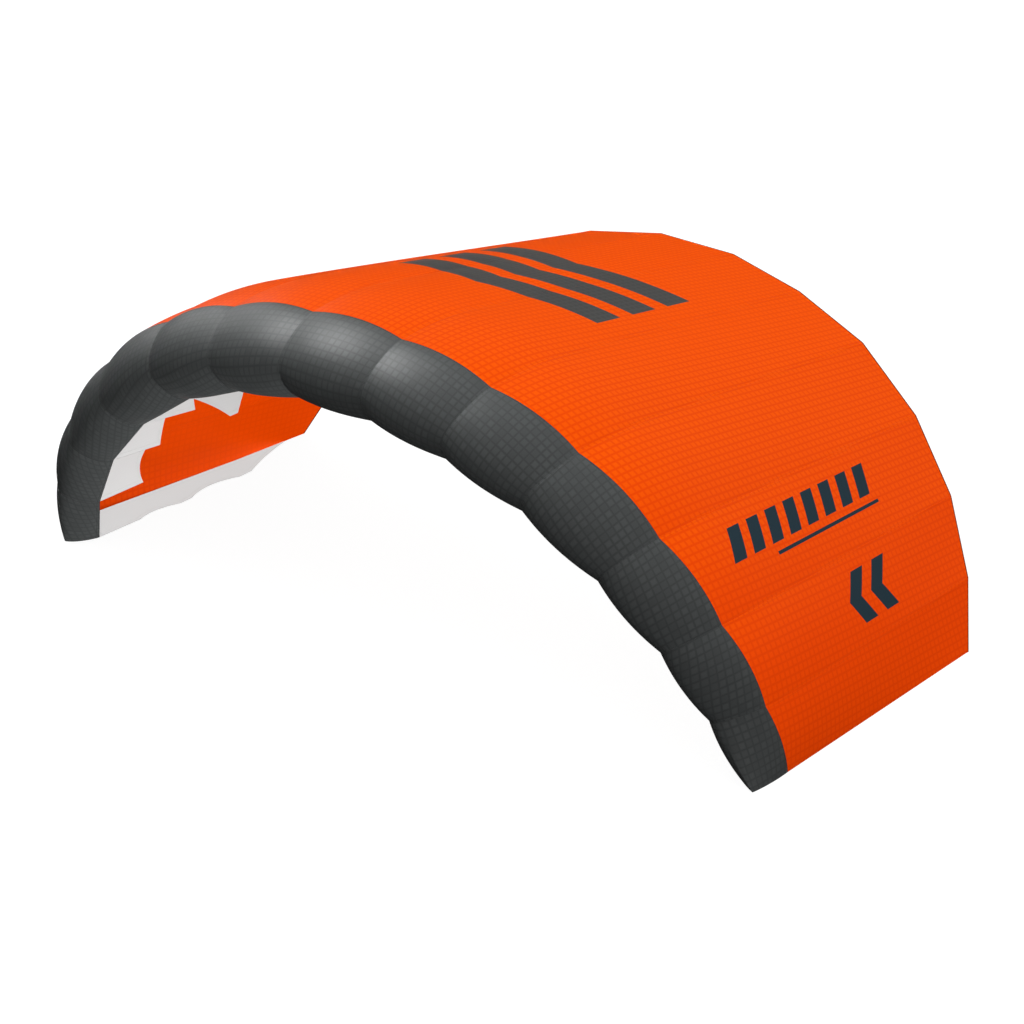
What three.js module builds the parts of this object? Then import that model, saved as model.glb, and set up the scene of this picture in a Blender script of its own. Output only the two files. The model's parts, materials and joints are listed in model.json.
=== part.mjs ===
// Parawing: a soft wing of sewn cloth in the arched shape that it flies in, standing on its two tips.
// A dark padded-looking nose runs along the front, a single orange skin reaches back to the trailing edge,
// and pale ribs stand under the skin, one at each seam.
//
// Millimetres and degrees. X runs along the span, Y from the nose to the trailing edge, Z up.
// The wing is even about the plane X = 0 and rests on the ground plane Z = 0.

import * as THREE from 'three';

// Cloth: thickness of the skin and of a rib, space between sewn pieces, and space round a rib's edge
const CLOTH = 2;
const RIB_CLOTH = 1.2;
const GAP = 0.3;
const RIB_GAP = 0.5;
const HEM_GAP = 1;

// One row for each rib, from the one beside the middle of the wing out to a tip.
// cell: width of the cell on the rib's inner side (the first is the whole middle cell).
// slope: how far that cell leans down to the side. lead: how far the rib's nose is swept back.
// chord: nose to trailing edge. tabAft, tabDrop: where the rib's lower corner is, behind the nose
// and under the chord line. tabFlat: length of the corner's blunt end, or zero for a sharp one.
const HALF_RIBS = [
  { cell: 196, slope: 0, lead: 0, chord: 1450, tabAft: 286, tabDrop: 54, tabFlat: 0 },
  { cell: 189, slope: 12.4, lead: 19, chord: 1422, tabAft: 280, tabDrop: 53, tabFlat: 0 },
  { cell: 190, slope: 24.7, lead: 60, chord: 1379, tabAft: 214, tabDrop: 103, tabFlat: 27 },
  { cell: 205, slope: 37.3, lead: 115, chord: 1294, tabAft: 253, tabDrop: 48, tabFlat: 0 },
  { cell: 189, slope: 48.7, lead: 182, chord: 1179, tabAft: 230, tabDrop: 42, tabFlat: 0 },
  { cell: 173, slope: 60.4, lead: 260, chord: 1042, tabAft: 223, tabDrop: 29, tabFlat: 0 },
  { cell: 135, slope: 72, lead: 330, chord: 911, tabAft: 208, tabDrop: 26, tabFlat: 0 },
];
const TIP_ROLL = 90;
const TIP_TWIST = 2.7;

// Section of the nose: distance behind the nose and height over the chord line, at the seam with
// the skin, at the front and at the hem. Two curves meet at the front. The handles pull them round.
// The first is the middle rib's, and the ribs beside it have it smaller. The second is a tip's.
const NOSE = {
  seam: [120, 140],
  seamHandle: [91, 141],
  highHandle: [0, 91],
  front: [0, 45],
  lowHandle: [0, 16],
  hemHandle: [49, -36],
  hem: [96, -37],
};
const TIP_NOSE = {
  seam: [90, 71],
  seamHandle: [36, 81],
  highHandle: [-17, 66],
  front: [-17, 41],
  lowHandle: [-17, 16],
  hemHandle: [14, -13],
  hem: [60, -20],
};
const NOSE_TAPER = 1.1;
const SEAM_LEAN = 0.1;
const SEAM_TRIM = (GAP * 1.6) / (HALF_RIBS[0].chord - NOSE.seam[0]);

// The skin between two ribs fills with air: its crown is this share of the cell's width.
// Along a rib the skin rises by the camber, most at the peak, a share of the way back from the seam.
// The camber dies out towards the tips.
const CROWN = 0.075;
const CAMBER = 29;
const CAMBER_PEAK = 0.18;
const CAMBER_FALL = 1.3;

// Free edge of the flat rib that closes each tip: one row for each tab, with blunt ends,
// and how high the hollow behind the tab rises over the straight line to the next one.
const TIP_TABS = [
  { front: 0, back: 208, drop: 26, hollow: 11 },
  { front: 348, back: 393, drop: 38, hollow: 17 },
  { front: 577, back: 624, drop: 45, hollow: 6 },
];

// Where a rib's free edge runs out under the skin, in rows of the skin's grid
const SKIN_ROWS = 12;
const RIB_END_ROW = 4;
const TIP_END_ROW = 11;
const NOSE_ROWS = 14;
const ACROSS = 6;
const EDGE_STEPS = 8;

const CANOPY_FINISH = { color: 0xf04c08, roughness: 0.55, metalness: 0 };
const NOSE_FINISH = { color: 0x4b4d4d, roughness: 0.5, metalness: 0 };
const RIB_FINISH = { color: 0xd1d1d1, roughness: 0.6, metalness: 0 };

const rad = THREE.MathUtils.degToRad;
const MIDDLE = HALF_RIBS[0];
const TIP = HALF_RIBS.length - 1;

// Stations: where each rib's plane stands. Index 0 is beside the middle, side is 1 or -1.
function ribPlanes() {
  const planes = [];
  let across = MIDDLE.cell / 2;
  let height = 0;
  HALF_RIBS.forEach((row, index) => {
    if (index > 0) {
      across += row.cell * Math.cos(rad(row.slope));
      height -= row.cell * Math.sin(rad(row.slope));
    }
    const outer = HALF_RIBS[index + 1];
    const roll = outer ? (row.slope + outer.slope) / 2 : TIP_ROLL;
    const twist = TIP_TWIST * (index / TIP) ** 2;
    planes.push({ ...row, index, across, height, roll, twist });
  });
  return planes;
}

const PLANES = ribPlanes();
const GROUND = PLANES[TIP].height;

// The rib numbered 0 to 13 from the -X tip, with its own axes: back along the chord and out of the skin
function station(number) {
  const side = number > TIP ? 1 : -1;
  const index = side > 0 ? number - TIP - 1 : TIP - number;
  const plane = PLANES[index];
  const up = new THREE.Vector3(side * Math.sin(rad(plane.roll)), 0, Math.cos(rad(plane.roll)));
  const aft = new THREE.Vector3(0, 1, 0);
  const back = aft.clone().multiplyScalar(Math.cos(rad(plane.twist)));
  back.addScaledVector(up, Math.sin(rad(plane.twist)));
  const out = up.clone().multiplyScalar(Math.cos(rad(plane.twist)));
  out.addScaledVector(aft, -Math.sin(rad(plane.twist)));
  const start = new THREE.Vector3(side * plane.across, plane.lead, plane.height - GROUND);
  const scale = index === TIP ? 1 : (plane.chord / MIDDLE.chord) ** NOSE_TAPER;
  return { ...plane, side, number, start, back, out, scale };
}

const STATIONS = Array.from({ length: 2 * HALF_RIBS.length }, (_, number) => station(number));

function place(rib, point) {
  return rib.start.clone().addScaledVector(rib.back, point.x).addScaledVector(rib.out, point.y);
}

// Section of the nose, from the seam at 0 over the front at 0.5 to the hem at 1
function noseCurves(section) {
  const at = (name) => new THREE.Vector2(...section[name]);
  return {
    upper: new THREE.CubicBezierCurve(at('seam'), at('seamHandle'), at('highHandle'), at('front')),
    lower: new THREE.CubicBezierCurve(at('front'), at('lowHandle'), at('hemHandle'), at('hem')),
  };
}

const MIDDLE_CURVES = noseCurves(NOSE);
const TIP_CURVES = noseCurves(TIP_NOSE);

function nosePoint(rib, along) {
  const curves = rib.index === TIP ? TIP_CURVES : MIDDLE_CURVES;
  const point = along < 0.5 ? curves.upper.getPoint(along * 2) : curves.lower.getPoint(along * 2 - 1);
  return point.multiplyScalar(rib.scale);
}

// Section of the skin behind the nose, from the seam at 0 to the trailing edge at 1
function skinPoint(rib, along) {
  const seam = nosePoint(rib, 0);
  const end = new THREE.Vector2(rib.chord, 0);
  const point = seam.lerp(end, along);
  const rise = (1 - along / CAMBER_PEAK) ** 2;
  const fall = ((along - CAMBER_PEAK) / (1 - CAMBER_PEAK)) ** CAMBER_FALL;
  const camber = CAMBER * (rib.chord / MIDDLE.chord) * (1 - (rib.index / TIP) ** 3);
  point.y += camber * (1 - (along < CAMBER_PEAK ? rise : fall));
  return point;
}

// Direction out of the cloth in the rib's plane, by a small step to each side.
// Nose and skin share one direction at their seam, so their edges stay parallel.
function outward(section, rib, along) {
  if (along <= SEAM_TRIM) {
    return new THREE.Vector2(SEAM_LEAN, 1).normalize();
  }
  const step = 0.002;
  const before = section(rib, Math.max(along - step, 0));
  const after = section(rib, Math.min(along + step, 1));
  const run = after.sub(before).normalize();
  const normal = new THREE.Vector2(-run.y, run.x);
  return section === nosePoint ? normal.negate() : normal;
}

function inset(section, rib, along, depth) {
  return section(rib, along).addScaledVector(outward(section, rib, along), -depth);
}

// How full the crown is at each place: full at the nose, nothing at its hem and at the trailing edge
const noseFill = (along) => 1 - along ** 4;
const skinFill = (along) => 1 - along;

// A point of one cell's cloth. across runs 0 to 1 from rib a to rib b.
function clothPoint(section, fill, a, b, across, along, depth) {
  const from = place(a, inset(section, a, along, depth));
  const to = place(b, inset(section, b, along, depth));
  const point = from.clone().lerp(to, across);
  const normals = [a, b].map((rib) => {
    const flat = outward(section, rib, along);
    return rib.back.clone().multiplyScalar(flat.x).addScaledVector(rib.out, flat.y);
  });
  const crown = CROWN * cellWidth(a, b) * 4 * across * (1 - across) * fill(along);
  return point.addScaledVector(normals[0].add(normals[1]).normalize(), crown);
}

function cellWidth(a, b) {
  return Math.max(a.index, b.index) === 0 ? MIDDLE.cell : HALF_RIBS[Math.max(a.index, b.index)].cell;
}

// A closed body from rows of points on its outer and inner face
function sheetBody(outer, inner) {
  const rows = outer.length;
  const columns = outer[0].length;
  const points = [...outer.flat(), ...inner.flat()];
  const at = (face, row, column) => face * rows * columns + row * columns + column;
  const faces = [];
  const quad = (a, b, c, d) => faces.push(a, b, c, a, c, d);
  for (let row = 0; row + 1 < rows; row += 1) {
    for (let column = 0; column + 1 < columns; column += 1) {
      const corners = [[row, column], [row, column + 1], [row + 1, column + 1], [row + 1, column]];
      quad(...corners.map(([r, c]) => at(0, r, c)));
      quad(...corners.reverse().map(([r, c]) => at(1, r, c)));
    }
    const [low, high] = [0, columns - 1];
    quad(at(0, row + 1, low), at(1, row + 1, low), at(1, row, low), at(0, row, low));
    quad(at(0, row, high), at(1, row, high), at(1, row + 1, high), at(0, row + 1, high));
  }
  for (let column = 0; column + 1 < columns; column += 1) {
    const [first, last] = [0, rows - 1];
    quad(at(0, first, column), at(1, first, column), at(1, first, column + 1), at(0, first, column + 1));
    quad(at(0, last, column + 1), at(1, last, column + 1), at(1, last, column), at(0, last, column));
  }
  return closedGeometry(points, faces);
}

// A closed body between two outlines with the same number of points
function plateBody(flat, firstFace, secondFace) {
  const count = flat.length;
  const points = [...firstFace, ...secondFace];
  const faces = [];
  THREE.ShapeUtils.triangulateShape(flat, []).forEach(([a, b, c]) => {
    faces.push(a, b, c, c + count, b + count, a + count);
  });
  for (let index = 0; index < count; index += 1) {
    const next = (index + 1) % count;
    faces.push(next, index, index + count, next, index + count, next + count);
  }
  return closedGeometry(points, faces);
}

function closedGeometry(points, faces) {
  let volume = 0;
  for (let index = 0; index < faces.length; index += 3) {
    const [a, b, c] = faces.slice(index, index + 3).map((corner) => points[corner]);
    volume += a.dot(b.clone().cross(c));
  }
  const ordered = volume > 0 ? faces : faces.slice().reverse();
  const geometry = new THREE.BufferGeometry();
  geometry.setAttribute('position', new THREE.Float32BufferAttribute(points.flatMap((p) => p.toArray()), 3));
  geometry.setIndex(ordered);
  geometry.computeVertexNormals();
  return geometry;
}

// One cell of cloth. It stops half a gap short of each seam plane, but reaches the ground at a tip.
function cellSheet(section, fill, rows, a, b, first, last) {
  const margin = (GAP * 0.55) / cellWidth(a, b);
  const begin = a.index === TIP ? 0 : margin;
  const end = b.index === TIP ? 1 : 1 - margin;
  const face = (depth) => rows.map((_, row) => {
    const along = first + (last - first) * rows[row];
    return Array.from({ length: ACROSS + 1 }, (_unused, column) => {
      const across = begin + (end - begin) * (column / ACROSS);
      return clothPoint(section, fill, a, b, across, along, depth);
    });
  });
  return sheetBody(face(0), face(CLOTH));
}

const steps = (count) => Array.from({ length: count + 1 }, (_, index) => index / count);

function canopyCell(a, b) {
  return cellSheet(skinPoint, skinFill, steps(SKIN_ROWS), a, b, SEAM_TRIM, 1);
}

function noseCell(a, b) {
  return cellSheet(nosePoint, noseFill, steps(NOSE_ROWS), a, b, 0, 1);
}

// A hollow edge between two points, bowed up by the given height in its middle
function hollowEdge(from, to, bow) {
  const middle = from.clone().lerp(to, 0.5);
  middle.y += 2 * bow;
  const curve = new THREE.QuadraticBezierCurve(from, middle, to);
  return curve.getPoints(EDGE_STEPS);
}

// Edge of a rib under the cloth, from row endRow of the skin forward and round the nose to its hem.
// There it turns out behind the hem, until it is level with the nose's outer face.
function sewnEdge(rib, endRow, depth) {
  const skin = steps(SKIN_ROWS).slice(0, endRow + 1).reverse();
  const edge = skin.map((along) => inset(skinPoint, rib, Math.max(along, SEAM_TRIM), depth));
  const nose = steps(NOSE_ROWS).slice(1);
  edge.push(...nose.map((along) => inset(nosePoint, rib, along, depth)));
  const out = outward(nosePoint, rib, 1);
  const behind = new THREE.Vector2(-out.y, out.x).multiplyScalar(HEM_GAP);
  edge.push(inset(nosePoint, rib, 1, depth).add(behind), nosePoint(rib, 1).add(behind));
  return edge;
}

// A rib inside the wing: it fills the nose, runs back to one lower corner,
// and its free edge sweeps up from there until it meets the skin.
function ribOutline(rib) {
  const sewn = sewnEdge(rib, RIB_END_ROW, CLOTH + RIB_GAP);
  const corner = new THREE.Vector2(rib.tabAft, -rib.tabDrop);
  const hem = sewn[sewn.length - 1];
  const outline = [...sewn];
  if (rib.tabFlat > 0) {
    const heel = new THREE.Vector2(rib.tabAft - rib.tabFlat, -rib.tabDrop);
    const bow = new THREE.Vector2(heel.x - (heel.x - hem.x) * 0.36, hem.y + (heel.y - hem.y) * 0.48);
    outline.push(...new THREE.QuadraticBezierCurve(hem, bow, heel).getPoints(EDGE_STEPS).slice(1));
  }
  const top = sewn[0];
  const reach = rib.tabFlat > 0 ? 0.47 : 0.32;
  const pull = new THREE.Vector2(corner.x + (top.x - corner.x) * 0.2, top.y - (top.y - corner.y) * reach);
  const sweep = new THREE.QuadraticBezierCurve(corner, pull, top).getPoints(EDGE_STEPS + 2);
  outline.push(...sweep.slice(0, -1));
  return outline;
}

function innerRib(rib) {
  const outline = ribOutline(rib);
  const across = new THREE.Vector3().crossVectors(rib.back, rib.out).multiplyScalar(RIB_CLOTH / 2);
  const faces = [1, -1].map((sign) => outline.map((point) => place(rib, point).addScaledVector(across, sign)));
  return plateBody(outline, ...faces);
}

// The rib at a tip lies flat on the ground. Its upper face is set back, because the cell above leans in.
function tipOutline(rib, depth) {
  const sewn = sewnEdge(rib, TIP_END_ROW, depth);
  const outline = [...sewn];
  TIP_TABS.forEach((tab, index) => {
    const next = TIP_TABS[index + 1];
    const back = new THREE.Vector2(tab.back, -tab.drop);
    const ahead = next ? new THREE.Vector2(next.front, -next.drop) : sewn[0];
    const hollow = hollowEdge(back, ahead, tab.hollow);
    outline.push(...(next ? hollow : hollow.slice(0, -1)));
  });
  return outline;
}

function tipRib(rib) {
  const lean = RIB_CLOTH * Math.tan(rad(TIP_ROLL - rib.slope));
  const low = tipOutline(rib, CLOTH + RIB_GAP);
  const high = tipOutline(rib, CLOTH + RIB_GAP + lean);
  const raised = new THREE.Vector3(0, 0, RIB_CLOTH);
  return plateBody(
    low,
    low.map((point) => place(rib, point)),
    high.map((point) => place(rib, point).add(raised)),
  );
}

function addPiece(group, name, geometry, finish) {
  const piece = new THREE.Mesh(geometry, new THREE.MeshStandardMaterial(finish));
  piece.name = name;
  group.add(piece);
}

const twoDigits = (number) => String(number).padStart(2, '0');
const group = new THREE.Group();

for (let cell = 0; cell + 1 < STATIONS.length; cell += 1) {
  const [a, b] = [STATIONS[cell], STATIONS[cell + 1]];
  addPiece(group, `canopy_${twoDigits(cell + 1)}`, canopyCell(a, b), CANOPY_FINISH);
  addPiece(group, `nose_${twoDigits(cell + 1)}`, noseCell(a, b), NOSE_FINISH);
}

STATIONS.forEach((rib) => {
  const body = rib.index === TIP ? tipRib(rib) : innerRib(rib);
  addPiece(group, `rib_${twoDigits(rib.number + 1)}`, body, RIB_FINISH);
});

// The origin is under the middle of the wing's footprint
const footprint = new THREE.Box3().setFromObject(group);
group.position.y = -(footprint.min.y + footprint.max.y) / 2;

export default group;
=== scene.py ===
# %% [markdown]
# # A parawing of sewn ripstop
# The object is a soft wing without battens. A dark nose, made of thirteen rounded cells, runs along
# the front. One orange skin reaches back from it to the trailing edge. Under each seam a pale rib holds
# the shape. The wing is shown as it flies, arched, and it stands on its two flat tips.
# The frame comes first: it gives the solids that every piece of cloth has to follow.

# %% Open the frame
import json
import math

import bpy
import numpy as np
from mathutils import Matrix, Vector

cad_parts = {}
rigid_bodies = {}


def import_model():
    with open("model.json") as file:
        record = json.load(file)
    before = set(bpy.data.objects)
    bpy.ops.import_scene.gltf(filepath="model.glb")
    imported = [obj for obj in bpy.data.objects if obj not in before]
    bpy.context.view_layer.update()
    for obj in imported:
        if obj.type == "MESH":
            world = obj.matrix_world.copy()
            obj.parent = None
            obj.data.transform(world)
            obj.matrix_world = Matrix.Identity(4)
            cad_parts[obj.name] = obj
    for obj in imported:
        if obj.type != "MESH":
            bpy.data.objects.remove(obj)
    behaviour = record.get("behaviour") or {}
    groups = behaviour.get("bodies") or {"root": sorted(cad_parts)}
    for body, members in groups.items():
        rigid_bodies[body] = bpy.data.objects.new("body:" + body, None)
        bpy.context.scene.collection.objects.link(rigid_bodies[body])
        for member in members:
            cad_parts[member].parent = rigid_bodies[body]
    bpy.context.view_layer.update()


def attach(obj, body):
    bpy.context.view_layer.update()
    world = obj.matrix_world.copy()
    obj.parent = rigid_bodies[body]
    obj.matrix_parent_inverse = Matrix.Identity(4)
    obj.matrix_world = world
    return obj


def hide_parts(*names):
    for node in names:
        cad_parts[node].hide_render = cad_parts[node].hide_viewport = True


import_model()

# %% [markdown]
# ## Sizes of the wing
# A sailmaker draws a wing as a row of ribs. Each rib has its place along the span, its lean, its sweep
# back from the nose and its chord. Its lower corner, where a line would be tied, lies tab_aft behind the
# nose and tab_drop under the chord line, and tab_flat is the length of a flat end there.
# One table for half the wing is enough, because both halves are alike.
# All lengths are in metres and all angles in degrees. X runs along the span, Y back and Z up.

# %% The half wing, from the rib beside the middle out to a tip
HALF_RIBS = [
    dict(cell=0.196, slope=0.0, lead=0.000, chord=1.450, tab_aft=0.286, tab_drop=0.054, tab_flat=0.0),
    dict(cell=0.189, slope=12.4, lead=0.019, chord=1.422, tab_aft=0.280, tab_drop=0.053, tab_flat=0.0),
    dict(cell=0.190, slope=24.7, lead=0.060, chord=1.379, tab_aft=0.214, tab_drop=0.103, tab_flat=0.027),
    dict(cell=0.205, slope=37.3, lead=0.115, chord=1.294, tab_aft=0.253, tab_drop=0.048, tab_flat=0.0),
    dict(cell=0.189, slope=48.7, lead=0.182, chord=1.179, tab_aft=0.230, tab_drop=0.042, tab_flat=0.0),
    dict(cell=0.173, slope=60.4, lead=0.260, chord=1.042, tab_aft=0.223, tab_drop=0.029, tab_flat=0.0),
    dict(cell=0.135, slope=72.0, lead=0.330, chord=0.911, tab_aft=0.208, tab_drop=0.026, tab_flat=0.0),
]
TIP = len(HALF_RIBS) - 1
MIDDLE_CHORD = HALF_RIBS[0]["chord"]
TIP_ROLL = 90.0
TIP_TWIST = 2.7

# Sections of the nose, as distance behind the nose and height over the chord line
NOSE = dict(
    upper=[(0.120, 0.140), (0.091, 0.141), (0.000, 0.091), (0.000, 0.045)],
    lower=[(0.000, 0.045), (0.000, 0.016), (0.049, -0.036), (0.096, -0.037)],
)
# At a tip the nose is sewn flat against the floor. The two tips lie a little differently.
TIP_NOSES = {
    -1: dict(
        upper=[(0.090, 0.071), (0.060, 0.060), (0.020, 0.042), (-0.0095, 0.0245)],
        lower=[(-0.0095, 0.0245), (-0.008, 0.010), (0.020, -0.012), (0.060, -0.020)],
    ),
    1: dict(
        upper=[(0.098, 0.066), (0.050, 0.072), (0.000, 0.073), (-0.037, 0.070)],
        lower=[(-0.037, 0.070), (-0.020, 0.035), (0.014, -0.010), (0.060, -0.020)],
    ),
}
# Towards the tips the nose shrinks a little faster than the chord. At the seam on top of the nose, nose and
# skin share one direction out of the cloth, which leans back by SEAM_LEAN for each unit that it rises.
NOSE_TAPER = 1.1
SEAM_LEAN = 0.1

# The crown of a cell is a share of its width. The camber is the rise of the skin along a rib.
CROWN = 0.075
CAMBER = 0.029
CAMBER_PEAK = 0.18
CAMBER_FALL = 1.3

# Free edge of the flat rib at a tip, a row for each blunt tab
TIP_TABS = [
    dict(front=0.000, back=0.208, drop=0.026, hollow=0.011),
    dict(front=0.348, back=0.393, drop=0.038, hollow=0.017),
    dict(front=0.577, back=0.624, drop=0.045, hollow=0.006),
]
# How far back a rib runs, as a share of the skin's length
RIB_END = 4 / 12
TIP_END = 11 / 12

# Width of a square of the weave in each cell from the middle out, and how far its rows are turned there
SQUARES = [0.0132, 0.0134, 0.0134, 0.0139, 0.0148, 0.0149, 0.0140]
GRAIN_TURN = [0.0, 0.03, 0.11, 0.125, 0.14, 0.118, 0.22]
# Length of a square on the skin and on the nose, and the lean of its long threads towards the tips
SKIN_SQUARE = 0.0192
NOSE_SQUARE = 0.0165
LEAN = 0.045

# Thickness of the cloth as it shows, and the space between two sewn edges
CLOTH = 0.0009
RIB_CLOTH = 0.0007
SEAM_GAP = 0.00002
HEM_STEP = 0.0005
HEM_WIDTH = 0.010

# %% [markdown]
# ## Where each rib stands
# Going out from the middle, every cell adds its width in the direction of its slope. A rib leans halfway
# between the cells beside it. Its own axes point back along the chord and out of the skin, and
# every point of cloth is placed by them.


# %% Ribs in place
def rib_frames():
    """Place and axes of each rib, from the far tip at -X to the near one at +X."""
    across, height, half = HALF_RIBS[0]["cell"] / 2, 0.0, []
    for index, row in enumerate(HALF_RIBS):
        slope = math.radians(row["slope"])
        if index:
            across += row["cell"] * math.cos(slope)
            height -= row["cell"] * math.sin(slope)
        outer = HALF_RIBS[index + 1]["slope"] if index < TIP else 2 * TIP_ROLL - row["slope"]
        roll = math.radians((row["slope"] + outer) / 2)
        half.append(dict(row, index=index, across=across, height=height, roll=roll))
    frames = []
    for side, rows in ((-1, half[::-1]), (1, half)):
        for row in rows:
            twist = math.radians(TIP_TWIST * (row["index"] / TIP) ** 2)
            up = np.array([side * math.sin(row["roll"]), 0, math.cos(row["roll"])])
            aft = np.array([0.0, 1.0, 0.0])
            frames.append(dict(
                row,
                side=side,
                start=np.array([side * row["across"], row["lead"], row["height"] - half[TIP]["height"]]),
                back=aft * math.cos(twist) + up * math.sin(twist),
                out=up * math.cos(twist) - aft * math.sin(twist),
                size=1.0 if row["index"] == TIP else (row["chord"] / MIDDLE_CHORD) ** NOSE_TAPER,
            ))
    return frames


RIBS = rib_frames()
print(len(RIBS), "ribs, the highest chord line at", round(max(rib["start"][2] for rib in RIBS), 3), "m")


# %% Sections of the cloth, in a rib's own plane
def bezier(corners, share):
    t = share[:, None]
    a, b, c, d = (np.array(corner) for corner in corners)
    return (1 - t) ** 3 * a + 3 * (1 - t) ** 2 * t * b + 3 * (1 - t) * t**2 * c + t**3 * d


def nose_section(rib, along):
    """From the seam at 0 over the front at 0.5 to the hem at 1."""
    curves = TIP_NOSES[rib["side"]] if rib["index"] == TIP else NOSE
    upper = bezier(curves["upper"], np.clip(along * 2, 0, 1))
    lower = bezier(curves["lower"], np.clip(along * 2 - 1, 0, 1))
    return np.where((along < 0.5)[:, None], upper, lower) * rib["size"]


def skin_section(rib, along):
    """From the seam at 0 to the trailing edge at 1."""
    seam = nose_section(rib, np.zeros(1))[0]
    points = seam * (1 - along)[:, None] + np.array([rib["chord"], 0.0]) * along[:, None]
    rise = (1 - along / CAMBER_PEAK) ** 2
    fall = (np.clip(along - CAMBER_PEAK, 0, 1) / (1 - CAMBER_PEAK)) ** CAMBER_FALL
    camber = CAMBER * rib["chord"] / MIDDLE_CHORD * (1 - (rib["index"] / TIP) ** 3)
    points[:, 1] += camber * (1 - np.where(along < CAMBER_PEAK, rise, fall))
    return points


AT_SEAM = 1e-4


def outward(section, rib, along):
    """Direction out of the cloth. Nose and skin share one direction at their seam."""
    step = 0.002
    run = section(rib, np.clip(along + step, 0, 1)) - section(rib, np.clip(along - step, 0, 1))
    run /= np.linalg.norm(run, axis=1)[:, None]
    normal = np.stack([-run[:, 1], run[:, 0]], 1) * (-1 if section is nose_section else 1)
    shared = np.array([SEAM_LEAN, 1.0]) / math.hypot(SEAM_LEAN, 1.0)
    return np.where((along < AT_SEAM)[:, None], shared, normal)


def placed(rib, points):
    return rib["start"] + points[:, :1] * rib["back"] + points[:, 1:] * rib["out"]


# %% [markdown]
# ## One cell of cloth
# Air presses the cloth of a cell out between its two ribs. The cloth is held along both seams and stands
# highest halfway between them, so a parabola across the cell gives the crown. The crown is full at the
# nose and dies out towards the hem and the trailing edge, where nothing holds the air. A cloth simulation
# could find this shape too, but the rule is known, and whole arrays of points give it at once. The same
# function serves the nose and the skin.


# %% Points of a cell
def nose_fill(along):
    return 1 - along**4


def skin_fill(along):
    return 1 - along


def cell_width(a, b):
    return HALF_RIBS[max(a["index"], b["index"])]["cell"]


def cell_points(section, fill, a, b, across, along, depth):
    """Rows of points between ribs a and b. depth is how far each row lies under the outer face."""
    edges, normals = [], []
    for rib in (a, b):
        flat = outward(section, rib, along)
        edges.append(placed(rib, section(rib, along) - flat * depth[:, None]))
        normals.append(flat[:, :1] * rib["back"] + flat[:, 1:] * rib["out"])
    normal = normals[0] + normals[1]
    normal /= np.linalg.norm(normal, axis=1)[:, None]
    crown = CROWN * cell_width(a, b) * 4 * across * (1 - across)
    points = edges[0][:, None] * (1 - across)[:, None] + edges[1][:, None] * across[:, None]
    return points + normal[:, None] * (crown * fill(along)[:, None])[:, :, None]


# The origin of the frame is under the middle of the footprint, so the wing slides forward to it
front = cell_points(nose_section, nose_fill, RIBS[TIP], RIBS[TIP + 1], np.array([0.5]),
                    np.linspace(0.3, 0.7, 401), np.zeros(401))[:, 0, 1].min()
SLIDE = np.array([0.0, -(front + MIDDLE_CHORD) / 2, 0.0])
for rib in RIBS:
    rib["start"] = rib["start"] + SLIDE
print("wing slid by", round(float(SLIDE[1]), 4), "m along Y")

# %% [markdown]
# ## From points to a mesh
# A sheet of cloth is two grids of points, the outer face and the inner face, with a strip of faces round
# the rim. Three UV maps travel with it. "cloth" counts the squares of the weave across and along, so
# that they keep their real size on every panel. "edges" holds the distance in metres to the nearest side
# seam and to the free hem, for stitches and puckers. "wing" measures the whole flat wing in metres, for the
# prints. On the inner face it is moved far off every print, because only the outer face is printed.

# %% Mesh of a sheet
OFF_PRINT = 9.0
SHARP_ANGLE = math.radians(40)


def sheet_mesh(name, outer, inner, maps):
    rows, columns = outer.shape[:2]
    grid = np.arange(rows * columns).reshape(rows, columns)
    quads = np.stack([grid[:-1, :-1], grid[:-1, 1:], grid[1:, 1:], grid[1:, :-1]], -1).reshape(-1, 4)
    rim = np.concatenate([grid[0], grid[1:, -1], grid[-1, -2::-1], grid[-2:0:-1, 0]])
    ahead = np.roll(rim, -1)
    under = rows * columns
    strip = np.stack([ahead, rim, rim + under, ahead + under], -1)
    faces = np.concatenate([quads, quads[:, ::-1] + under, strip])
    mesh = bpy.data.meshes.new(name)
    points = np.concatenate([outer.reshape(-1, 3), inner.reshape(-1, 3)])
    mesh.from_pydata(points.tolist(), [], faces.tolist())
    corners = faces.reshape(-1)
    for title, values in maps.items():
        both = np.concatenate([values.reshape(-1, 2)] * 2)[corners]
        if title == "wing":
            both[quads.size:, 0] += OFF_PRINT
        layer = mesh.uv_layers.new(name=title)
        layer.data.foreach_set("uv", both.reshape(-1).astype(np.float32))
    signed = np.einsum("ij,ij->i", points[faces[:, 0]], np.cross(points[faces[:, 1]], points[faces[:, 2]]))
    signed += np.einsum("ij,ij->i", points[faces[:, 0]], np.cross(points[faces[:, 2]], points[faces[:, 3]]))
    if signed.sum() < 0:
        mesh.flip_normals()
    mesh.shade_smooth()
    mesh.set_sharp_from_angle(angle=SHARP_ANGLE)
    mesh.validate()
    piece = bpy.data.objects.new(name, mesh)
    bpy.context.scene.collection.objects.link(piece)
    return piece


def finished(piece, node, material):
    """Puts a sheet in its node's place: gives it its finish, hides the node and attaches the sheet to the
    root body.
    """
    piece.data.materials.append(material)
    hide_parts(node)
    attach(piece, "root")


# %% [markdown]
# ## Shader helpers
# Every finish is built from small sums on UV coordinates. Two helpers keep the node trees short: one
# adds a math node and one a soft step. Effects that several cloths share are node groups.


# %% Node helpers
def put(tree, value, socket):
    if isinstance(value, bpy.types.NodeSocket):
        tree.links.new(value, socket)
    else:
        socket.default_value = value


def calc(tree, operation, *values):
    node = tree.nodes.new("ShaderNodeMath")
    node.operation = operation
    for value, socket in zip(values, node.inputs):
        put(tree, value, socket)
    return node.outputs[0]


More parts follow.
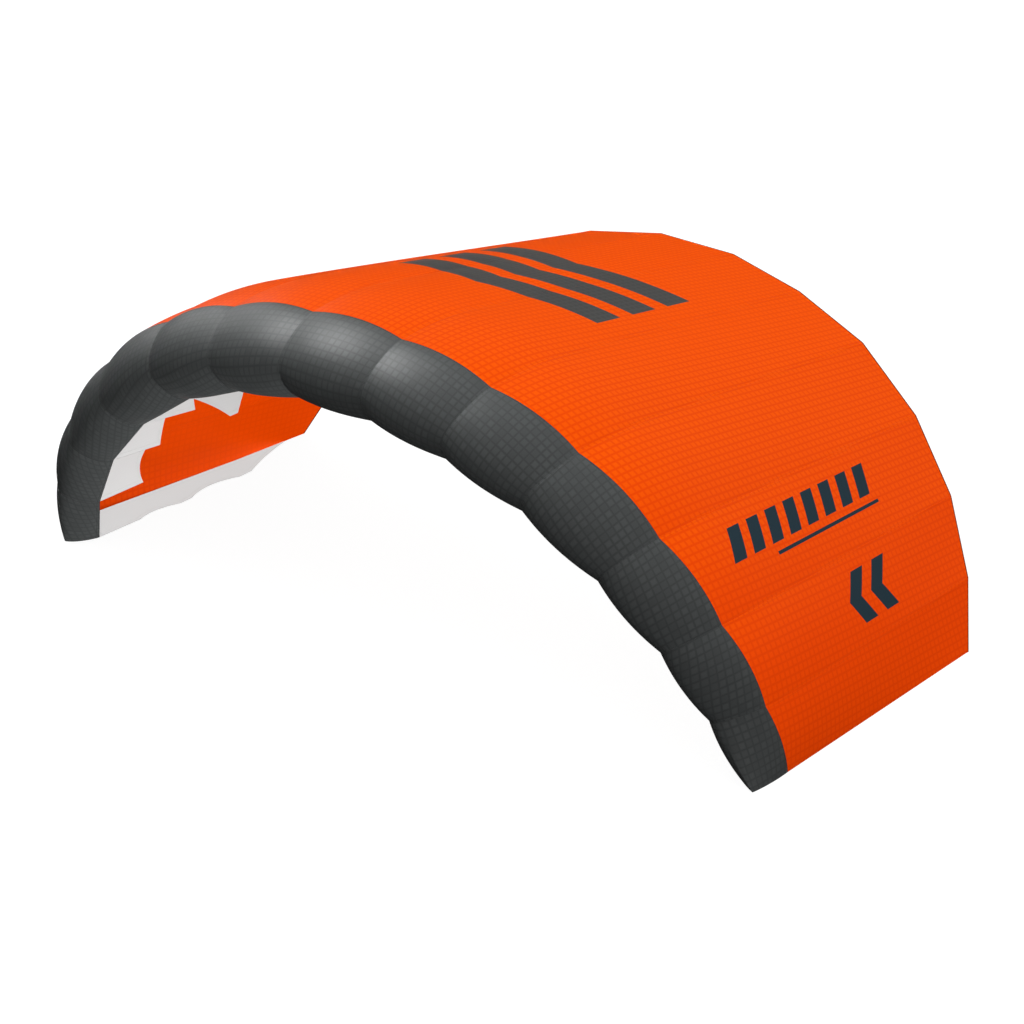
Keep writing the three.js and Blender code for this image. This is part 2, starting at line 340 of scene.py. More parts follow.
def soft_step(tree, value, low, high, to_low=0.0, to_high=1.0):
    node = tree.nodes.new("ShaderNodeMapRange")
    node.interpolation_type = "SMOOTHSTEP"
    for value_in, socket in zip((value, low, high, to_low, to_high), node.inputs):
        put(tree, value_in, socket)
    return node.outputs[0]


def split(tree, vector):
    node = tree.nodes.new("ShaderNodeSeparateXYZ")
    tree.links.new(vector, node.inputs[0])
    return node.outputs[0], node.outputs[1]


def blended(tree, factor, under, over):
    """Mixes two colours by a mask."""
    node = tree.nodes.new("ShaderNodeMix")
    node.data_type = "RGBA"
    put(tree, factor, node.inputs[0])
    put(tree, under, node.inputs[6])
    put(tree, over, node.inputs[7])
    return node.outputs[2]


def new_group(name, inputs, outputs):
    tree = bpy.data.node_groups.new(name, "ShaderNodeTree")
    for title, kind, start in inputs:
        socket = tree.interface.new_socket(title, in_out="INPUT", socket_type=kind)
        if start is not None:
            socket.default_value = start
    for title in outputs:
        tree.interface.new_socket(title, in_out="OUTPUT", socket_type="NodeSocketFloat")
    return tree, tree.nodes.new("NodeGroupInput").outputs, tree.nodes.new("NodeGroupOutput").inputs


def use_group(tree, group, **values):
    node = tree.nodes.new("ShaderNodeGroup")
    node.node_tree = group
    for title, value in values.items():
        put(tree, value, node.inputs[title.replace("_", " ")])
    return node.outputs


def uv(tree, title):
    node = tree.nodes.new("ShaderNodeUVMap")
    node.uv_map = title
    return node.outputs[0]


def linear(red, green, blue):
    """A colour as seen on a screen, 0 to 255, in the linear light that shaders use."""
    parts = [c / 255 for c in (red, green, blue)]
    return tuple(c / 12.92 if c <= 0.04045 else ((c + 0.055) / 1.055) ** 2.4 for c in parts) + (1.0,)


# %% [markdown]
# ## Ripstop
# Ripstop is a thin plain weave with a heavier thread at even distances both ways, which stops a tear.
# On this wing the squares are 13 to 15 mm wide and 17 to 19 mm long, and each takes the light a little
# differently. An image of cloth would blur near by and repeat far off, so the weave is worked out from the
# count of squares. The group gives the heavy threads that run back and those that run across, each as a
# mask, a tone for each square, and the height of the weave.

# %% Group: ripstop
FINE_THREADS = 14
FINE_HEIGHT = 0.12


def ripstop_group():
    tree, given, out = new_group(
        "Ripstop",
        [("Cloth", "NodeSocketVector", None), ("Thread", "NodeSocketFloat", 0.3)],
        ["Back", "Across", "Tone", "Height"],
    )
    places = split(tree, given["Cloth"])
    nets = []
    for place in places:
        away = calc(tree, "ABSOLUTE", calc(tree, "SUBTRACT", calc(tree, "FRACT", place), 0.5))
        edge = calc(tree, "SUBTRACT", 0.5, calc(tree, "MULTIPLY", given["Thread"], 0.5))
        nets.append(soft_step(tree, away, edge, 0.5))
    join = tree.nodes.new("ShaderNodeCombineXYZ")
    for place, socket in zip(places, join.inputs):
        tree.links.new(calc(tree, "FLOOR", place), socket)
    tone = tree.nodes.new("ShaderNodeTexWhiteNoise")
    tone.noise_dimensions = "2D"
    tree.links.new(join.outputs[0], tone.inputs["Vector"])
    turns = 2 * math.pi * FINE_THREADS
    threads = [calc(tree, "SINE", calc(tree, "MULTIPLY", place, turns)) for place in places]
    weave = calc(tree, "MULTIPLY", threads[0], threads[1])
    net = calc(tree, "MAXIMUM", nets[0], nets[1])
    tree.links.new(nets[0], out["Back"])
    tree.links.new(nets[1], out["Across"])
    tree.links.new(tone.outputs["Value"], out["Tone"])
    tree.links.new(calc(tree, "MULTIPLY_ADD", weave, FINE_HEIGHT, net), out["Height"])
    return tree


RIPSTOP = ripstop_group()
print("group", RIPSTOP.name)

# %% [markdown]
# ## Seams and hems
# A seam of thin cloth pulls in a little at every stitch, so short soft puckers stand across it and die
# out within a thumb's width. Seams and hems carry a row of stitches beside their edge. Both need only the
# distance to the edge and the place along it, so they are one group each.

# %% Group: puckers beside a seam
PUCKER_STRETCH = 3.0


def pucker_group():
    tree, given, out = new_group(
        "Seam puckers",
        [("Along", "NodeSocketFloat", 0.0), ("Distance", "NodeSocketFloat", 0.0),
         ("Spacing", "NodeSocketFloat", 0.03), ("Reach", "NodeSocketFloat", 0.02)],
        ["Height"],
    )
    join = tree.nodes.new("ShaderNodeCombineXYZ")
    tree.links.new(calc(tree, "DIVIDE", given["Along"], given["Spacing"]), join.inputs[0])
    drawn_out = calc(tree, "MULTIPLY", given["Reach"], PUCKER_STRETCH)
    tree.links.new(calc(tree, "DIVIDE", given["Distance"], drawn_out), join.inputs[1])
    noise = tree.nodes.new("ShaderNodeTexNoise")
    noise.inputs["Scale"].default_value = 1.0
    noise.inputs["Detail"].default_value = 1.0
    tree.links.new(join.outputs[0], noise.inputs["Vector"])
    reached = calc(tree, "DIVIDE", given["Distance"], given["Reach"])
    fade = calc(tree, "EXPONENT", calc(tree, "MULTIPLY", reached, -1.0))
    centred = calc(tree, "SUBTRACT", noise.outputs[0], 0.5)
    tree.links.new(calc(tree, "MULTIPLY", centred, fade), out["Height"])
    return tree


PUCKERS = pucker_group()
print("group", PUCKERS.name)

# %% Group: a row of stitches
# A stitch is full within the first distance from its middle line and gone at the second, in metres.
# Along the row the same holds as shares of the stitch length.
STITCH_HALF_WIDTH = (0.0003, 0.0007)
STITCH_HALF_DASH = (0.3, 0.4)


def stitch_group():
    tree, given, out = new_group(
        "Stitch row",
        [("Along", "NodeSocketFloat", 0.0), ("Distance", "NodeSocketFloat", 0.0),
         ("Offset", "NodeSocketFloat", 0.008), ("Length", "NodeSocketFloat", 0.0035)],
        ["Thread"],
    )
    aside = calc(tree, "ABSOLUTE", calc(tree, "SUBTRACT", given["Distance"], given["Offset"]))
    line = soft_step(tree, aside, *STITCH_HALF_WIDTH, 1.0, 0.0)
    step = calc(tree, "FRACT", calc(tree, "DIVIDE", given["Along"], given["Length"]))
    from_middle = calc(tree, "ABSOLUTE", calc(tree, "SUBTRACT", step, 0.5))
    dash = soft_step(tree, from_middle, *STITCH_HALF_DASH, 1.0, 0.0)
    tree.links.new(calc(tree, "MULTIPLY", line, dash), out["Thread"])
    return tree


STITCHES = stitch_group()
print("group", STITCHES.name)

# %% [markdown]
# ## Prints
# The skin carries plain printed motifs: nested chevrons over the middle cells, and towards the near tip
# a row of slanted blocks, a thin rule and two more chevrons. They are drawn in the wing's own flat measure,
# span across and distance back, so that a motif runs over the seams without a break. Each is a mask with a
# slightly soft edge, as ink has on cloth. Distances are in metres and shares are of the pitch.

# %% Group: nested chevrons
CHEVRON_FUZZ = 0.004
SIDE_FUZZ = 0.0006


def chevron_group():
    tree, given, out = new_group(
        "Chevrons",
        [("Wing", "NodeSocketVector", None), ("Span", "NodeSocketFloat", 0.0),
         ("Front", "NodeSocketFloat", 0.0), ("Half Width", "NodeSocketFloat", 0.2),
         ("Sweep", "NodeSocketFloat", 0.5), ("Pitch", "NodeSocketFloat", 0.12),
         ("Share", "NodeSocketFloat", 0.6), ("Count", "NodeSocketFloat", 3.0)],
        ["Mask"],
    )
    span, back = split(tree, given["Wing"])
    aside = calc(tree, "ABSOLUTE", calc(tree, "SUBTRACT", span, given["Span"]))
    bent = calc(tree, "SUBTRACT", calc(tree, "SUBTRACT", back, given["Front"]),
                calc(tree, "MULTIPLY", aside, given["Sweep"]))
    place = calc(tree, "DIVIDE", bent, given["Pitch"])
    bar_end = calc(tree, "ADD", given["Share"], CHEVRON_FUZZ)
    bar = soft_step(tree, calc(tree, "FRACT", place), given["Share"], bar_end, 1.0, 0.0)
    bar = calc(tree, "MULTIPLY", bar, calc(tree, "GREATER_THAN", place, 0.0))
    bar = calc(tree, "MULTIPLY", bar, calc(tree, "LESS_THAN", place, given["Count"]))
    side_end = calc(tree, "ADD", given["Half Width"], SIDE_FUZZ)
    inside = soft_step(tree, aside, given["Half Width"], side_end, 1.0, 0.0)
    tree.links.new(calc(tree, "MULTIPLY", bar, inside), out["Mask"])
    return tree


CHEVRONS = chevron_group()
print("group", CHEVRONS.name)

# %% Group: a row of slanted blocks
BLOCK_FUZZ = 0.008


def block_group():
    tree, given, out = new_group(
        "Slanted blocks",
        [("Wing", "NodeSocketVector", None), ("Span Low", "NodeSocketFloat", 0.7),
         ("Span High", "NodeSocketFloat", 0.8), ("Front", "NodeSocketFloat", 0.4),
         ("Pitch", "NodeSocketFloat", 0.08), ("Share", "NodeSocketFloat", 0.6),
         ("Slant", "NodeSocketFloat", 0.5), ("Count", "NodeSocketFloat", 8.0)],
        ["Mask"],
    )
    span, back = split(tree, given["Wing"])
    leaned = calc(tree, "SUBTRACT", calc(tree, "SUBTRACT", back, given["Front"]),
                  calc(tree, "MULTIPLY", calc(tree, "SUBTRACT", span, given["Span Low"]), given["Slant"]))
    place = calc(tree, "DIVIDE", leaned, given["Pitch"])
    block_end = calc(tree, "ADD", given["Share"], BLOCK_FUZZ)
    block = soft_step(tree, calc(tree, "FRACT", place), given["Share"], block_end, 1.0, 0.0)
    for test, low, high in ((place, 0.0, given["Count"]), (span, given["Span Low"], given["Span High"])):
        block = calc(tree, "MULTIPLY", block, calc(tree, "GREATER_THAN", test, low))
        block = calc(tree, "MULTIPLY", block, calc(tree, "LESS_THAN", test, high))
    tree.links.new(block, out["Mask"])
    return tree


BLOCKS = block_group()
print("group", BLOCKS.name)

# %% [markdown]
# ## The three cloths
# Skin and nose are coated ripstop. The coating makes the nose shine softly where the light strikes it,
# while the orange skin stays nearly dull. The ribs are a plainer cloth. All three share the groups above and
# differ in colour, in gloss and in how much the net of threads shows. Their colours are written as they
# look on a screen and turned into linear light, which is what shaders work in.

# %% What every cloth needs
# Distances in metres. A stitch stands STITCH_RELIEF times as proud as the cloth's own RELIEF.
RELIEF = 0.0002
STITCH_FROM_SEAM = 0.004
STITCH_FROM_HEM = 0.0085
STITCH_RELIEF = 1.2


def new_cloth(name, roughness, gloss):
    material = bpy.data.materials.new(name)
    material.use_nodes = True
    tree = material.node_tree
    shader = tree.nodes["Principled BSDF"]
    shader.inputs["Roughness"].default_value = roughness
    shader.inputs["Specular IOR Level"].default_value = gloss
    return material, tree, shader


def bumped(tree, shader, height):
    """Feeds a height into the shader's normal. A height of one stands RELIEF metres proud."""
    node = tree.nodes.new("ShaderNodeBump")
    node.inputs["Distance"].default_value = RELIEF
    node.inputs["Strength"].default_value = 1.0
    tree.links.new(height, node.inputs["Height"])
    tree.links.new(node.outputs[0], shader.inputs["Normal"])


def lengths_on(tree):
    """Place across and back, from the count of squares. It is near enough to metres for rows of stitches."""
    return [calc(tree, "MULTIPLY", place, SKIN_SQUARE) for place in split(tree, uv(tree, "cloth"))]


# %% [markdown]
# ## What the coated cloths share
# Both show the net of threads, each way by its own share, and a tone from square to square. Both have a
# row of stitches beside each seam and each hem, puckers at the seams and the fine relief of the weave. One
# function each gives the net, the rows and the relief, so that skin and nose can't drift apart.

# %% Net, rows and relief
PUCKER_RELIEF = 9.0
WEAVE_RELIEF = 0.12


def thread_net(tree, weave, back, across):
    return calc(tree, "MAXIMUM", calc(tree, "MULTIPLY", weave["Back"], back),
                calc(tree, "MULTIPLY", weave["Across"], across))


def stitch_rows(tree, across, back, side, hem):
    beside_seam = use_group(tree, STITCHES, Along=back, Distance=side, Offset=STITCH_FROM_SEAM)["Thread"]
    beside_hem = use_group(tree, STITCHES, Along=across, Distance=hem, Offset=STITCH_FROM_HEM)["Thread"]
    return calc(tree, "MAXIMUM", beside_seam, beside_hem)


def coated_relief(tree, shader, weave, rows, back, side):
    puckers = use_group(tree, PUCKERS, Along=back, Distance=side)["Height"]
    woven = calc(tree, "MULTIPLY", weave["Height"], WEAVE_RELIEF)
    raised = calc(tree, "MULTIPLY_ADD", puckers, PUCKER_RELIEF, woven)
    bumped(tree, shader, calc(tree, "ADD", raised, calc(tree, "MULTIPLY", rows, STITCH_RELIEF)))


# %% [markdown]
# ## Orange skin
# The orange is painted lighter and more yellow where the cloth faces up to the sky, and redder on its steep
# sides and underneath. This is painted light and painted shade, from a soft step on the surface's own upward
# direction, not on the camera. The net of threads is weaker on the underside. The hem on the trailing edge
# ends in a dark line. Where the skin
# lights other pieces by bounced light it counts as a dull grey, or the pale ribs would turn pink, and on
# the real wing they look neutral.

# %% Colours and shares of the skin
# The first two are painted light and painted shade: the orange of cloth open to the sky and the redder
# orange of its steep sides
ORANGE_PAINTED_LIGHT = linear(246, 89, 0)
ORANGE_PAINTED_SHADE = linear(246, 74, 0)
ORANGE_THREAD = linear(233, 62, 0)
ORANGE_STITCH = linear(226, 66, 4)
ORANGE_HEM = linear(80, 34, 14)
ORANGE_BOUNCE = linear(116, 104, 100)
PRINT_GREY = linear(75, 75, 74)
PRINT_GREY_THREAD = linear(92, 91, 90)
PRINT_SLATE = linear(41, 57, 66)
SKIN_NET = dict(back=0.72, across=0.66)
SKIN_PATCH = 0.12
SKIN_STITCH = 0.7
PRINTED_NET = 0.5

# Steps on the normal's height: from painted shade on steep cloth to painted light on open cloth, and for the
# net from the underside to the side
PAINTED_SKY_LIGHT_STEP = (0.30, 0.95, 0.0, 1.0)
NET_BELOW = (-0.25, 0.0, 0.55, 1.0)
# Step on the distance from the hem: the dark line, then its end
HEM_LINE = (0.0035, 0.0055, 0.9, 0.0)


# %% Group inputs of the prints
LARGE_CHEVRONS = dict(Span=0.0, Front=0.545, Half_Width=0.232, Sweep=0.36,
                      Pitch=0.150, Share=0.64, Count=3.0)
SMALL_CHEVRONS = dict(Span=0.955, Front=0.76, Half_Width=0.052, Sweep=0.9,
                      Pitch=0.105, Share=0.55, Count=2.0)
BLOCK_ROW = dict(Span_Low=0.722, Span_High=0.786, Front=0.42, Pitch=0.085,
                 Share=0.6, Slant=-0.55, Count=8.0)
RULE = dict(Span_Low=0.802, Span_High=0.809, Front=0.56, Pitch=0.5, Share=0.98, Slant=0.0, Count=1.0)


def printed_skin(tree, colour, net):
    """Lays the grey chevrons, then all that is slate, over the dyed cloth."""
    wing = uv(tree, "wing")
    large = use_group(tree, CHEVRONS, Wing=wing, **LARGE_CHEVRONS)["Mask"]
    grey = blended(tree, calc(tree, "MULTIPLY", net, PRINTED_NET), PRINT_GREY, PRINT_GREY_THREAD)
    colour = blended(tree, large, colour, grey)
    small = use_group(tree, CHEVRONS, Wing=wing, **SMALL_CHEVRONS)["Mask"]
    row = use_group(tree, BLOCKS, Wing=wing, **BLOCK_ROW)["Mask"]
    rule = use_group(tree, BLOCKS, Wing=wing, **RULE)["Mask"]
    slate = calc(tree, "MAXIMUM", calc(tree, "MAXIMUM", small, row), rule)
    return blended(tree, slate, colour, PRINT_SLATE)


# %% Orange skin
def skin_cloth():
    material, tree, shader = new_cloth("orange ripstop", roughness=0.36, gloss=0.014)
    weave = use_group(tree, RIPSTOP, Cloth=uv(tree, "cloth"), Thread=0.62)
    side, hem = split(tree, uv(tree, "edges"))
    across, back = lengths_on(tree)
    facing = tree.nodes.new("ShaderNodeSeparateXYZ")
    tree.links.new(tree.nodes.new("ShaderNodeNewGeometry").outputs["Normal"], facing.inputs["Vector"])
    upward = facing.outputs["Z"]
    net = thread_net(tree, weave, **SKIN_NET)
    net = calc(tree, "MULTIPLY", net, soft_step(tree, upward, *NET_BELOW))
    patch = calc(tree, "MULTIPLY", weave["Tone"], SKIN_PATCH)
    # Painted light and shade: lighter orange where the cloth faces up, redder where it is steep or faces
    # down
    orange_with_painted_light = blended(tree, soft_step(tree, upward, *PAINTED_SKY_LIGHT_STEP), ORANGE_PAINTED_SHADE, ORANGE_PAINTED_LIGHT)
    colour = blended(tree, calc(tree, "MAXIMUM", net, patch), orange_with_painted_light, ORANGE_THREAD)
    colour = blended(tree, soft_step(tree, hem, *HEM_LINE), colour, ORANGE_HEM)
    rows = stitch_rows(tree, across, back, side, hem)
    colour = blended(tree, calc(tree, "MULTIPLY", rows, SKIN_STITCH), colour, ORANGE_STITCH)
    colour = printed_skin(tree, colour, net)
    bounce = tree.nodes.new("ShaderNodeLightPath").outputs["Is Diffuse Ray"]
    colour = blended(tree, bounce, colour, ORANGE_BOUNCE)
    tree.links.new(colour, shader.inputs["Base Color"])
    coated_relief(tree, shader, weave, rows, back, side)
    return material


SKIN_CLOTH = skin_cloth()
print("cloth:", SKIN_CLOTH.name)

# %% [markdown]
# ## Dark nose
# The nose has the heavier coating, so it shines more than the skin. Its threads are darker and duller than
# the squares between them, which breaks up the highlights as the coating does on real cloth.

# %% Dark nose
NOSE_GREY = linear(64, 66, 66)
NOSE_THREAD = linear(41, 43, 43)
NOSE_EDGE = linear(24, 25, 25)
NOSE_NET = dict(back=0.52, across=0.52)
NOSE_PATCH = 0.3
NOSE_EDGE_LINE = (0.001, 0.0025, 0.6, 0.0)
NOSE_ROUGHNESS = 0.47
THREAD_ROUGHER = 0.06


def nose_cloth():
    material, tree, shader = new_cloth("dark coated ripstop", roughness=0.5, gloss=0.2)
    weave = use_group(tree, RIPSTOP, Cloth=uv(tree, "cloth"), Thread=0.55)
    side, hem = split(tree, uv(tree, "edges"))
    across, back = lengths_on(tree)
    net = thread_net(tree, weave, **NOSE_NET)
    patch = calc(tree, "MULTIPLY", weave["Tone"], NOSE_PATCH)
    colour = blended(tree, calc(tree, "MAXIMUM", net, patch), NOSE_GREY, NOSE_THREAD)
    colour = blended(tree, soft_step(tree, hem, *NOSE_EDGE_LINE), colour, NOSE_EDGE)
    tree.links.new(colour, shader.inputs["Base Color"])
    rows = stitch_rows(tree, across, back, side, hem)
    coated_relief(tree, shader, weave, rows, back, side)
    rough = calc(tree, "MULTIPLY_ADD", net, THREAD_ROUGHER, NOSE_ROUGHNESS)
    tree.links.new(rough, shader.inputs["Roughness"])
    return material


NOSE_CLOTH = nose_cloth()
print("cloth:", NOSE_CLOTH.name)

# %% [markdown]
# ## Pale ribs
# A rib is plain pale cloth with a finer, fainter net, and one row of stitches along its free edge. It is
# dull, so its gloss is near nothing.

# %% Pale ribs
RIB_GREY = linear(214, 214, 214)
RIB_EDGE = linear(190, 190, 190)
RIB_NET = 0.08
RIB_STITCH = 0.22
RIB_WEAVE_RELIEF = 0.25


def rib_cloth():
    material, tree, shader = new_cloth("pale rib cloth", roughness=0.62, gloss=0.02)
    weave = use_group(tree, RIPSTOP, Cloth=uv(tree, "cloth"), Thread=0.4)
    hem = split(tree, uv(tree, "edges"))[1]
    across = lengths_on(tree)[0]
    net = calc(tree, "MAXIMUM", weave["Back"], weave["Across"])
    colour = blended(tree, calc(tree, "MULTIPLY", net, RIB_NET), RIB_GREY, RIB_EDGE)
    rows = use_group(tree, STITCHES, Along=across, Distance=hem, Offset=STITCH_FROM_HEM)["Thread"]
    colour = blended(tree, calc(tree, "MULTIPLY", rows, RIB_STITCH), colour, RIB_EDGE)
    tree.links.new(colour, shader.inputs["Base Color"])
    woven = calc(tree, "MULTIPLY", weave["Height"], RIB_WEAVE_RELIEF)
    bumped(tree, shader, calc(tree, "MULTIPLY_ADD", rows, STITCH_RELIEF, woven))
    return material


RIB_CLOTH_FINISH = rib_cloth()
print("cloth:", RIB_CLOTH_FINISH.name)

# %% [markdown]
# ## Sewing the panels
# Each cell gets two panels, a nose panel and a skin panel, cut as the maker cuts them. The grid of points
# is close enough for a smooth crown. Near a free hem two extra rows make the doubled cloth stand a
# little proud, as a turned hem does. Every panel is shifted on the roll, so the squares of
# neighbours don't line up. The shifts come from numbers with a fixed seed, so each run gives the same wing.

# %% Rows of points
SKIN_ROWS = 84
NOSE_ROWS = 60
ACROSS = 20
HEM_SLOPE = 0.0006


def hem_rows(count, length):
    """Even rows, with a close pair where the hem's doubled cloth ends."""
    even = np.linspace(0, 1, count + 1)
    step = 1 - HEM_WIDTH / length
    return np.unique(np.concatenate([even, [step - HEM_SLOPE / length, step + HEM_SLOPE / length]]))


def hem_rise(along, length):
    """How far the outer face stands up at a hem."""
    return np.where((1 - along) * length < HEM_WIDTH, HEM_STEP, 0.0)


def arc(points):
    steps = np.linalg.norm(np.diff(points, axis=0), axis=1)
    return np.concatenate([[0.0], np.cumsum(steps)])


def shares(a, b):
    """Places across a cell. They stop just short of each seam, and reach the floor at a tip."""
    margin = SEAM_GAP / 2 / cell_width(a, b)
    low = 0.0 if a["index"] == TIP else margin
    high = 1.0 if b["index"] == TIP else 1 - margin
    return np.linspace(low, high, ACROSS + 1)


# %% Squares of the weave on a panel
rolls = np.random.default_rng(7)


def cloth_map(a, b, column, back, square, sweep):
    """Counts the squares of the weave across and along a panel."""
    cell = max(a["index"], b["index"])
    middle = a["side"] != b["side"]
    side = 0 if middle else a["side"]
    shift = rolls.random(2)
    over = (column - side * LEAN * back) / SQUARES[cell]
    along = (back - (sweep + side * GRAIN_TURN[cell]) * column) / square
    return np.stack([over + shift[0], along + shift[1]], -1)


# Span of the flat wing at each rib, measured from the middle
SPAN = np.concatenate([[0.0], np.cumsum([cell_width(a, b) for a, b in zip(RIBS, RIBS[1:])])])
SPAN = SPAN - SPAN[-1] / 2
print("flat span", round(float(SPAN[-1] - SPAN[0]), 3), "m")


# %% Skin panels
def skin_panel(number, a, b):
    width = cell_width(a, b)
    lengths = [arc(skin_section(rib, np.linspace(0, 1, 50)))[-1] for rib in (a, b)]
    length = max(lengths)
    along = hem_rows(SKIN_ROWS, length)
    across = shares(a, b)
    proud = hem_rise(along, length)
    outer = cell_points(skin_section, skin_fill, a, b, across, along, -proud)
    inner = cell_points(skin_section, skin_fill, a, b, across, along, np.full(len(along), CLOTH))
    column = np.broadcast_to(across * width, outer.shape[:2])
    behind = outer[:, :, 1] - SLIDE[1]
    run = lengths[0] + (lengths[1] - lengths[0]) * across
    maps = dict(
        cloth=cloth_map(a, b, column, behind, SKIN_SQUARE, 0.0),
        edges=np.stack([np.minimum(column, width - column), (1 - along)[:, None] * run], -1),
        wing=np.stack([SPAN[number] + column, behind], -1),
    )
    piece = sheet_mesh(f"skin_panel_{number + 1:02d}", outer, inner, maps)
    area = width * sum(lengths) / 2
    finished(piece, f"canopy_{number + 1:02d}", SKIN_CLOTH)
    return area


# %% Nose panels
def nose_panel(number, a, b):
    width = cell_width(a, b)
    fine = np.linspace(0, 1, 80)
    lengths = [arc(nose_section(rib, fine))[-1] for rib in (a, b)]
    length = max(lengths)
    along = hem_rows(NOSE_ROWS, length)
    across = shares(a, b)
    proud = hem_rise(along, length)
    outer = cell_points(nose_section, nose_fill, a, b, across, along, -proud)
    inner = cell_points(nose_section, nose_fill, a, b, across, along, np.full(len(along), CLOTH))
    column = np.broadcast_to(across * width, outer.shape[:2])
    runs = [arc(nose_section(rib, along)) for rib in (a, b)]
    round_nose = runs[0][:, None] * (1 - across) + runs[1][:, None] * across
    run = lengths[0] + (lengths[1] - lengths[0]) * across
    to_hem = (1 - along)[:, None] * run
    turn = 2 * GRAIN_TURN[max(a["index"], b["index"])] * (a["side"] if a["side"] == b["side"] else 0)
    sweep = (b["lead"] - a["lead"]) / width - turn
    maps = dict(
        cloth=cloth_map(a, b, column, round_nose, NOSE_SQUARE, sweep),
        edges=np.stack([np.minimum(column, width - column), np.minimum(to_hem, run - to_hem)], -1),
    )
    piece = sheet_mesh(f"nose_panel_{number + 1:02d}", outer, inner, maps)
    area = width * sum(lengths) / 2
    finished(piece, f"nose_{number + 1:02d}", NOSE_CLOTH)
    return area


# %% Sew the skin and the nose
skin_area = 0.0
nose_area = 0.0
for number, (a, b) in enumerate(zip(RIBS, RIBS[1:])):
    skin_area += skin_panel(number, a, b)
    nose_area += nose_panel(number, a, b)
print("skin", round(skin_area, 2), "m2 and nose", round(nose_area, 2), "m2")

# %% [markdown]
# ## Ribs
# A rib is flat cloth. Its upper edge follows the skin and the nose from inside. Its lower edge runs
# from the nose's hem to one corner, where a line would be tied, and sweeps up from there to the skin. Seen
# as heights over the chord, both edges have one height at each place, so a rib is a grid of upright
# columns between its two edges. The tip's rib is the same with a wavy free edge. It lies on the floor, but
# the seam pulls its upper edge up a little towards the nose, so it rises there in a low ramp.

# %% Edges of a rib
RIB_INSET = CLOTH + 0.0004
HEM_LIP = 0.0006
# The curve from the nose's hem to a flat lower corner is pulled this far along and up
HEM_BOW = (0.36, 0.48)
# The curve up to the skin is pulled back and down by these shares. Ribs 2 and 4 from the middle, the first
# with a flat corner, are cut further back than the others.
FREE_LEAN = 0.2
SWEPT_EDGES = {2: 0.38, 4: 0.48}
FREE_REACH = 0.32
FREE_REACH_FLAT = 0.47


def curve(start, pull, end, count=24):
    t = np.linspace(0, 1, count)[:, None]
    return (1 - t) ** 2 * np.array(start) + 2 * (1 - t) * t * np.array(pull) + t**2 * np.array(end)


def under_cloth(section, rib, along):
    return section(rib, along) - outward(section, rib, along) * RIB_INSET


def upper_edge(rib, end):
    nose = under_cloth(nose_section, rib, np.linspace(0.5, 0, 60))
    skin = under_cloth(skin_section, rib, np.linspace(0.0, end, 60))
    return np.concatenate([nose, skin[1:]])


def lower_nose(rib):
    nose = under_cloth(nose_section, rib, np.linspace(0.5, 1, 60))
    return np.concatenate([nose, nose_section(rib, np.ones(1)) + [[HEM_LIP, 0.0]]])


def inner_free_edge(rib, top):
    """From the nose's hem to the lower corner and up to the skin."""
    hem = lower_nose(rib)[-1]
    corner = np.array([rib["tab_aft"], -rib["tab_drop"]])
    edge = [corner[None]]
    if rib["tab_flat"]:
        heel = corner - [rib["tab_flat"], 0.0]
        bow = [heel[0] - (heel[0] - hem[0]) * HEM_BOW[0], hem[1] + (heel[1] - hem[1]) * HEM_BOW[1]]
        edge = [curve(hem, bow, heel)[1:], corner[None]]
    reach = FREE_REACH_FLAT if rib["tab_flat"] else FREE_REACH
    lean = SWEPT_EDGES.get(rib["index"], FREE_LEAN)
    pull = [corner[0] + (top[0] - corner[0]) * lean, top[1] - (top[1] - corner[1]) * reach]
    return np.concatenate(edge + [curve(corner, pull, top)[1:]])


def tip_free_edge(rib, top):
    """From tab to tab in shallow hollows, and up to the skin."""
    edge = []
    for tab, after in zip(TIP_TABS, TIP_TABS[1:] + [None]):
        start = np.array([tab["back"], -tab["drop"]])
        end = np.array([after["front"], -after["drop"]]) if after else top
        middle = (start + end) / 2 + [0.0, 2 * tab["hollow"]]
        edge.append(curve(start, middle, end))
    return np.concatenate(edge)


# %% Ramp of a tip's rib
# How high it rises and how far it leans inwards for that, with its share of the height at places along the
# chord, and how fast it grows from the free edge to the seam
TIP_RAMP = 0.011
TIP_RAMP_LEAN = 0.34
RAMP_PLACES = [0.0, 0.08, 0.65]
RAMP_SHARES = [0.0, 1.0, 0.0]
RAMP_GROWTH = 1.5


def ramped(points, places, level):
    ramp = TIP_RAMP * np.interp(places, RAMP_PLACES, RAMP_SHARES) * level[:, None] ** RAMP_GROWTH
    inward = -np.sign(points[0, 0, 0]) * TIP_RAMP_LEAN
    return points + ramp[..., None] * [inward, 0.0, 1.0]


# %% Columns of a rib
# Closer columns round the nose's front, then even ones to the free end, and one at each
# point of the free edge
FRONT_ROUND = 0.12
FIRST_TURN = 0.12
FRONT_COLUMNS = 40
RIB_COLUMNS = 110
RIB_END_MARGIN = 0.002
# Rows of points between the two edges, the first close to the free edge, and the size of the finer weave
RIB_LEVELS = 10
LOWEST_LEVEL = 0.06
RIB_SQUARE = 0.006


def rib_places(low, high, free):
    turns = np.linspace(FIRST_TURN, math.pi / 2, FRONT_COLUMNS)
    round_front = low + FRONT_ROUND * (1 - np.cos(turns))
    even = np.linspace(low + FRONT_ROUND, high - RIB_END_MARGIN, RIB_COLUMNS)
    marks = free[:, 0][free[:, 0] < high - RIB_END_MARGIN]
    return np.unique(np.concatenate([round_front, even, marks]).round(6))


